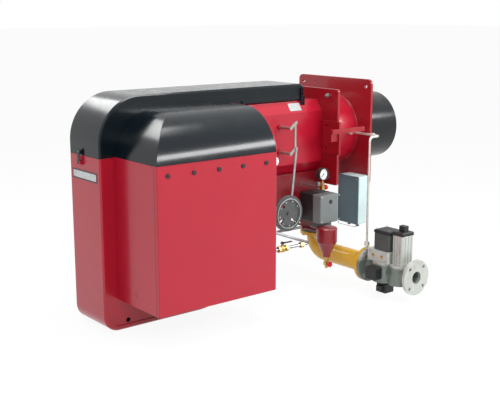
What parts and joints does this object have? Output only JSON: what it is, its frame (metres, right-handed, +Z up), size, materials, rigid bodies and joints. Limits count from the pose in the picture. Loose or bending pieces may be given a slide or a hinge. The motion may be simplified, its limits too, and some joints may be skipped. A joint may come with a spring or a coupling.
{
  "type": "industrial gas burner",
  "caption": "Forced-draught industrial gas burner with hooded fan casing, flanged combustion head, regulation gear and side gas valve train.",
  "frame": {"origin": "centre of the mounting flange's bolt pattern on the flange's boiler face, on the flame axis", "axes": "+X along the flame into the boiler, +Z up, -Y the side that carries the hood and the gas valve train"},
  "size_m": [1.931, 1.047, 1.12],
  "materials": {
    "red": "gloss",
    "black_gloss": "gloss",
    "black": "satin",
    "plastic_black": "matte",
    "plastic_grey": "matte",
    "box_grey": "satin",
    "box_lid": "satin",
    "steel": "satin",
    "zinc": "satin",
    "yellow": "gloss",
    "alu": "satin",
    "cast_dark": "satin",
    "brass": "satin",
    "ceramic": "gloss",
    "white": "gloss",
    "red_plastic": "satin",
    "motor": "satin",
    "gasket": "matte",
    "plate": "satin"
  },
  "bodies": {
    "base": {"mounting_flange": "red", "blast_tube": "red", "flame_tube": "black", "head_plate": "red", "head_bolts": "zinc", "gas_distributor": "steel", "diffuser_disc": "steel", "electrode_rods": "steel", "electrode_insulators": "ceramic", "electrode_clamps": "zinc", "air_duct": "red", "blank_plates": "plate", "fan_casing": "red", "cover_hinge": "black", "fan_scroll": "zinc", "motor_body": "motor", "motor_cowl": "black", "air_inlet": "black", "side_hood": "red", "hood_lid": "black_gloss", "hood_screws": "black", "regulator_bracket": "red", "servo_base": "plastic_black", "servo_cover": "plastic_grey", "butterfly_body": "cast_dark", "gas_elbow": "yellow", "gas_gaskets": "gasket", "gas_line_bolts": "zinc", "valve_body": "alu", "valve_blocks": "alu", "actuator_one": "plastic_grey", "actuator_caps": "plastic_black", "gas_switches": "plastic_black", "gauge_case": "plastic_black", "gauge_dial": "white", "pilot_filter": "red", "service_pipes": "steel", "service_cocks": "brass", "impulse_line": "steel", "junction_box": "box_grey", "junction_lid": "box_lid", "air_switch": "plastic_grey", "air_switch_cap": "white"},
    "cam": {"cam_disc": "cast_dark"},
    "servo_arm": {"servo_crank": "zinc"},
    "servo_link": {"servo_rod": "zinc"},
    "air_link": {"air_rod": "steel"},
    "gas_link": {"gas_rod": "zinc"},
    "lower_damper": {"damper_lower": "zinc"},
    "upper_damper": {"damper_upper": "zinc"},
    "damper_bar": {"damper_link": "zinc"},
    "gas_flap": {"gas_butterfly": "steel"},
    "rotor": {"rotor_shaft": "steel", "fan_wheel": "zinc"},
    "cover": {"top_cover": "black_gloss"},
    "latch": {"latch_lever": "plastic_black"},
    "needle": {"gauge_needle": "black"},
    "gauge_knob": {"gauge_handle": "red_plastic"},
    "drain_handle": {"drain_knob": "red_plastic"},
    "pilot_handle": {"pilot_lever": "black"}
  },
  "joints": [
    {"name": "cam_turn", "type": "hinge", "parent": "base", "child": "cam", "pos_m": [-0.596, -0.19, -0.368], "axis": [0, 1, 0], "range_deg": [0, 90]},
    {"name": "servo_turn", "type": "hinge", "parent": "base", "child": "servo_arm", "pos_m": [-0.3105, -0.118, -0.382], "axis": [0, 1, 0], "range_deg": [0, 90]},
    {"name": "servo_rod_pin", "type": "hinge", "parent": "cam", "child": "servo_link", "pos_m": [-0.62622, -0.1125, -0.33466], "axis": [0, 1, 0], "range_deg": [-90, 0]},
    {"name": "air_rod_pin", "type": "hinge", "parent": "cam", "child": "air_link", "pos_m": [-0.56064, -0.265, -0.34017], "axis": [0, 1, 0], "range_deg": [-90, 0]},
    {"name": "gas_rod_pin", "type": "hinge", "parent": "cam", "child": "gas_link", "pos_m": [-0.57774, -0.1065, -0.40913], "axis": [0, 1, 0], "range_deg": [-90, 0]},
    {"name": "lower_damper_turn", "type": "hinge", "parent": "base", "child": "lower_damper", "pos_m": [-0.56, 0, -0.066], "axis": [0, 1, 0], "range_deg": [0, 90]},
    {"name": "upper_damper_turn", "type": "hinge", "parent": "base", "child": "upper_damper", "pos_m": [-0.56, 0, 0.066], "axis": [0, 1, 0], "range_deg": [0, 90]},
    {"name": "damper_link_pin", "type": "hinge", "parent": "lower_damper", "child": "damper_bar", "pos_m": [-0.52464, -0.25, -0.03817], "axis": [0, 1, 0], "range_deg": [-90, 0]},
    {"name": "gas_butterfly_turn", "type": "hinge", "parent": "base", "child": "gas_flap", "pos_m": [-0.131, 0, -0.547], "axis": [0, 1, 0], "range_deg": [0, 90]},
    {"name": "fan_spin", "type": "hinge", "parent": "base", "child": "rotor", "pos_m": [-1.19, 0, -0.33], "axis": [0, 1, 0], "continuous": true},
    {"name": "cover_hinge_turn", "type": "hinge", "parent": "base", "child": "cover", "pos_m": [-0.38, 0, 0.204], "axis": [0, 1, 0], "range_deg": [0, 60]},
    {"name": "latch_turn", "type": "hinge", "parent": "base", "child": "latch", "pos_m": [-1.616, 0.032, -0.034], "axis": [0, -1, 0], "range_deg": [0, 100]},
    {"name": "gauge_needle_turn", "type": "hinge", "parent": "base", "child": "needle", "pos_m": [-0.361, -0.296, -0.188], "axis": [0, 1, 0], "range_deg": [0, 270]},
    {"name": "gauge_handle_turn", "type": "hinge", "parent": "base", "child": "gauge_knob", "pos_m": [-0.335, -0.285, -0.262], "axis": [1, 0, 0], "range_deg": [0, 90]},
    {"name": "drain_knob_turn", "type": "hinge", "parent": "base", "child": "drain_handle", "pos_m": [-0.326, -0.316, -0.6825], "axis": [0, 1, 0], "range_deg": [0, 90]},
    {"name": "pilot_lever_turn", "type": "hinge", "parent": "base", "child": "pilot_handle", "pos_m": [-0.64, -0.29, -0.518], "axis": [0, 0, -1], "range_deg": [0, 90]}
  ],
  "couplings": [
    {"joint": "servo_turn", "follows": "cam_turn", "ratio": 1},
    {"joint": "servo_rod_pin", "follows": "cam_turn", "ratio": -1},
    {"joint": "air_rod_pin", "follows": "cam_turn", "ratio": -1},
    {"joint": "gas_rod_pin", "follows": "cam_turn", "ratio": -1},
    {"joint": "lower_damper_turn", "follows": "cam_turn", "ratio": 1},
    {"joint": "upper_damper_turn", "follows": "cam_turn", "ratio": 1},
    {"joint": "damper_link_pin", "follows": "cam_turn", "ratio": -1},
    {"joint": "gas_butterfly_turn", "follows": "cam_turn", "ratio": 1}
  ]
}
